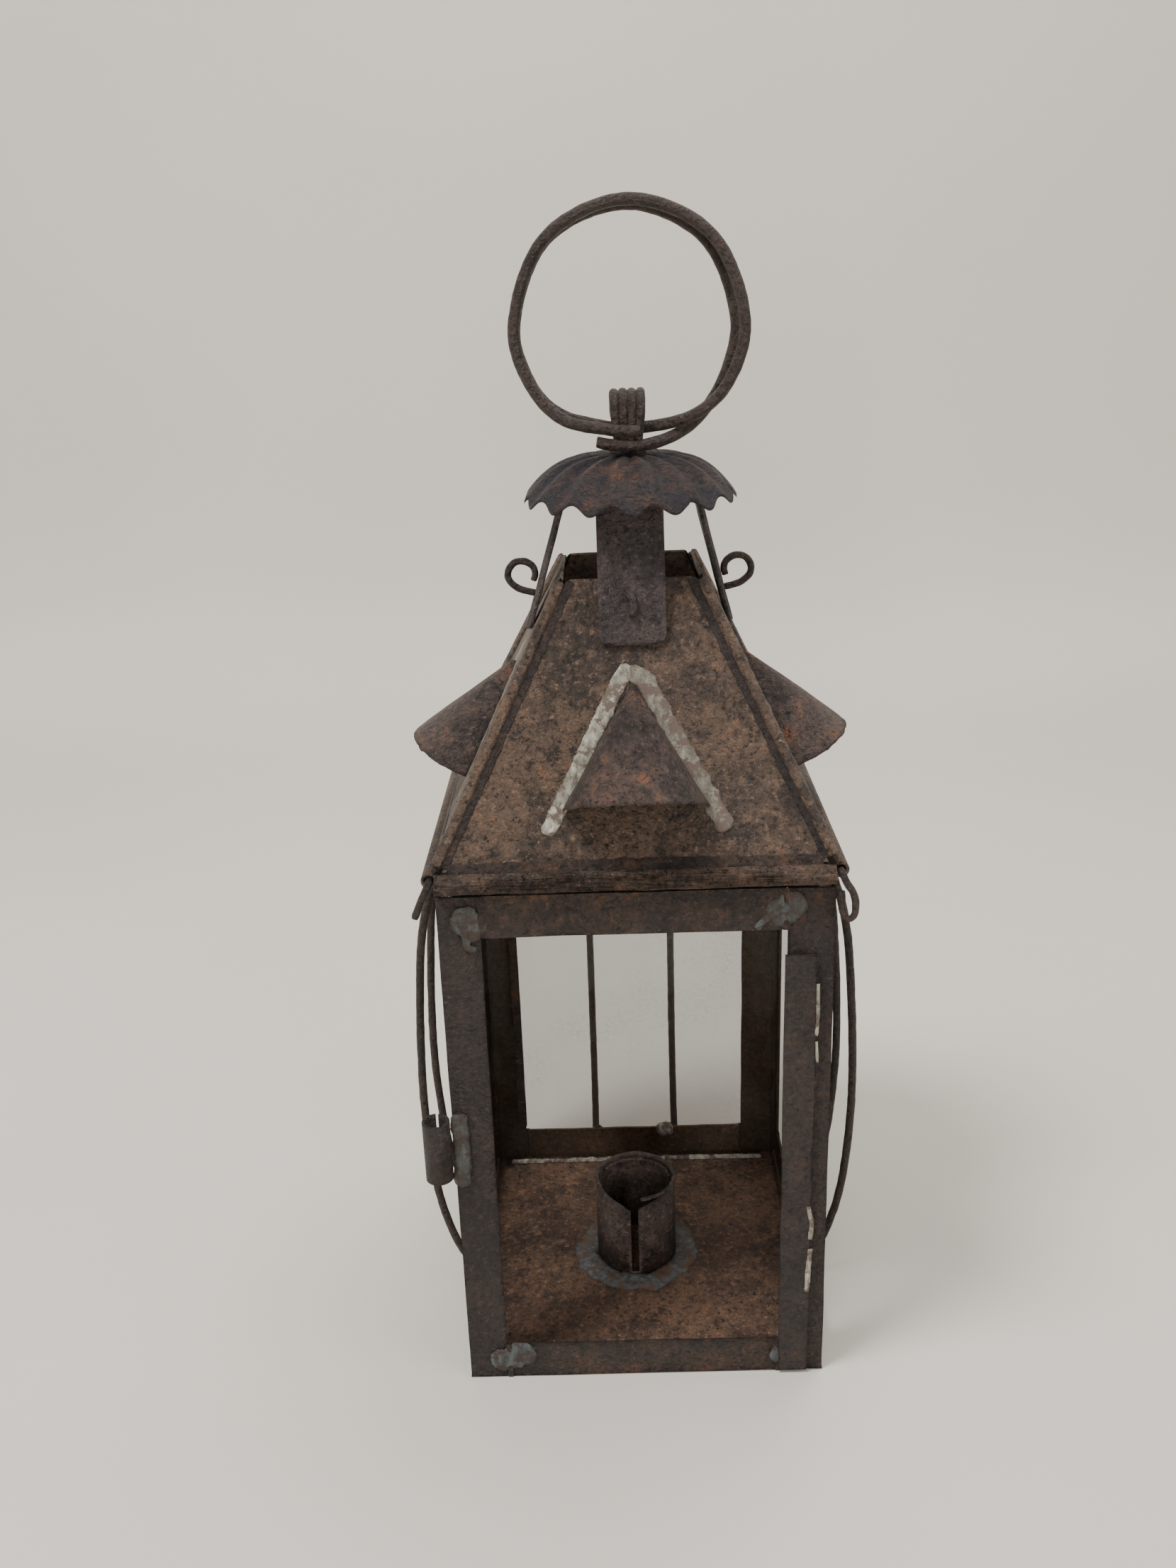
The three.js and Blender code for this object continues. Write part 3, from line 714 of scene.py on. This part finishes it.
def make_latch_solder():
    """The rough solder that holds the keeper tube to the left post."""
    lo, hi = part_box("latch_lap")
    x, z = (lo.x + hi.x) / 2, (lo.z + hi.z) / 2
    path = [(x - 0.4 * MM, lo.z), (x + 0.3 * MM, z), (x - 0.2 * MM, hi.z)]
    bm = run_shape(face_frame("front"), path, (hi.x - lo.x) * 1.1, 0.9 * MM, 90, 0.1 * MM)
    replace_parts(piece("latch_solder", bm, "solder", "body"), "latch_lap")


def make_floor_solder():
    """The pale line where the floor meets the back rail, and the lump on the rail's inner face."""
    lo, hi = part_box("floor_plate")
    y = hi.y - 4.0 * MM
    path = [(lo.x * 0.9, y), (0.0, y + 0.2 * MM), (hi.x * 0.9, y)]
    line = run_shape(Matrix.Translation((0, 0, hi.z)), path, 1.7 * MM, 1.1 * MM, 40)
    piece("solder_floor_back", line, "pale", "body")
    front = face_frame("front")
    shift = Vector((0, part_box("glass_back")[0].y - front.translation.y - 0.2 * MM, 0))
    path = [(8.0 * MM, 12.9 * MM), (14.2 * MM, 12.5 * MM)]
    lump = run_shape(Matrix.Translation(shift) @ front, path, 7.0 * MM, 1.6 * MM, 27)
    # The lump takes the pale solder rather than the dull one, partly as painted light against the shade on
    # the rail's inner face.
    piece("solder_back_lump", lump, "pale", "body")


def arc(start, end, count, radius_at):
    """Points round the candle cup's middle from one degree to another."""
    lo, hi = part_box("candle_cup")
    cx, cy = (lo.x + hi.x) / 2, (lo.y + hi.y) / 2
    points = []
    for i in range(count + 1):
        angle = math.radians(start + (end - start) * i / count)
        r = radius_at(angle) * MM
        points.append((cx + r * math.cos(angle), cy + r * math.sin(angle)))
    return points


def make_cup_solder():
    """The smear of solder round the foot of the candle cup, and the cup's two rolled rims."""
    ring = arc(100, 455, 49, lambda angle: 16.6 + 1.6 * rough(17, math.cos(angle) * 2, math.sin(angle) * 2))
    at = Matrix.Translation((0, 0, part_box("floor_plate")[1].z))
    collar = piece("solder_cup", run_shape(at, ring, 8.4 * MM, 1.0 * MM, 44), "smear", "body")
    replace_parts(collar, "cup_collar")
    rim_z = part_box("candle_cup")[1].z
    for i, (r, height, start, end) in enumerate(CUP_RIMS):
        rim = arc(start, end, 40, lambda angle: r)
        level = Matrix.Translation((0, 0, rim_z + height * MM))
        bm = run_shape(level, rim, 1.5 * MM, 0.5 * MM, 95 + i)
        piece("cup_rim_%d" % i, bm, "cup", "body")


def roof_corners(side):
    """The corners of a roof side's sheet in its own frame, and how far up the slope it starts and ends."""
    inverse = roof_frame(side).inverted()
    corners = [inverse @ v.co for v in nodes["roof_panel_" + side].data.vertices]
    return corners, min(c.y for c in corners), max(c.y for c in corners)


def make_hip_laps():
    """The folded laps beside each hip rib: broad on the side panels, narrow on the front and back."""
    for side in SIDES:
        corners, foot, head = roof_corners(side)
        if side in ("left", "right"):
            width, height, inset, finish = 6.2 * MM, 0.9 * MM, 1.3 * MM, "roof"
        else:
            # The narrow front and back laps take the darkest body rust, partly as painted shade in the
            # groove beside the rib.
            width, height, inset, finish = 2.6 * MM, 0.15 * MM, 0.4 * MM, "body"
        for tag, sign in (("a", -1), ("b", 1)):
            low = max(sign * c.x for c in corners if c.y < foot + 1 * MM) * sign
            high = max(sign * c.x for c in corners if c.y > head - 1 * MM) * sign
            path = [(low - sign * inset, foot + 1.2 * MM), (high - sign * inset, head - 0.6 * MM)]
            bm = run_shape(roof_frame(side), path, width, height, 50 + sign, 0, 5.0)
            piece("hip_lap_%s_%s" % (side, tag), bm, finish, "roof")


def make_rail_folds():
    """The edge folded up inside each top rail, which closes the gap under the eave."""
    for side in SIDES:
        z = 163.0 if side in ("left", "right") else 162.4
        body_run("rail_fold_" + side, side, [(-50, z), (50, z)], 1.8, 0.5, "rail", 130, -2.6)


def make_eave_fold(side):
    """The thin strip of darker rust along the foot of the roof sheet, over the slit above the rolled bead:
    painted shade in the groove.
    """
    corners, foot, _ = roof_corners(side)
    reach = max(c.x for c in corners if c.y < foot + 1 * MM) - 1.5 * MM
    path = [(-reach, foot + 0.3 * MM), (0.0, foot + 0.5 * MM), (reach, foot + 0.3 * MM)]
    bm = run_shape(roof_frame(side), path, 3.8 * MM, 0.15 * MM, 60, 0, 4.0)
    # The darker rail rust here is painted shade for the groove above the bead.
    piece("eave_fold_shade_" + side, bm, "rail", "roof")


make_camera()
FINISH = make_finishes()
make_stage(CAD_BOX[0].z)
make_lights()
dress_nodes()
for index, side in enumerate(SIDES):
    make_hood(side, 70 + index)
    make_hood_seam(side, 80 + index)
    make_strap(side)
    make_eave_fold(side)
make_cap()
make_eye_solder()
make_hip_laps()
make_rail_folds()
make_body_solder()
make_corner_seams()
make_latch_solder()
make_floor_solder()
make_cup_solder()
